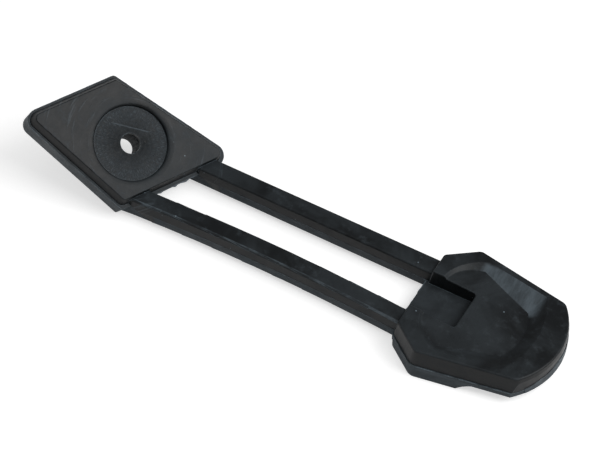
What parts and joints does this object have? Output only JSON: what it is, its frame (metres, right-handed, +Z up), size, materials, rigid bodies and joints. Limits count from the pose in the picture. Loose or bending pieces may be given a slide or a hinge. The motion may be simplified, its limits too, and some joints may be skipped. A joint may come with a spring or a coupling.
{
  "type": "rubber T draw latch",
  "caption": "One-piece moulded black rubber T draw latch: skewed screw-on pad with a washer seat, two parallel arms and an octagonal pull tab with a keeper notch and a thumb dish.",
  "frame": {"origin": "centre of the bounding box's bottom face, on the plane that the tab and the pad's lower edge rest on", "axes": "+X from the pad to the pull tab, +Z up, out of the tab's top face, shortest"},
  "size_m": [0.1938, 0.0506, 0.033],
  "materials": {
    "rubber": "matt"
  },
  "bodies": {
    "root": {"latch_strap": "rubber"}
  },
  "joints": []
}
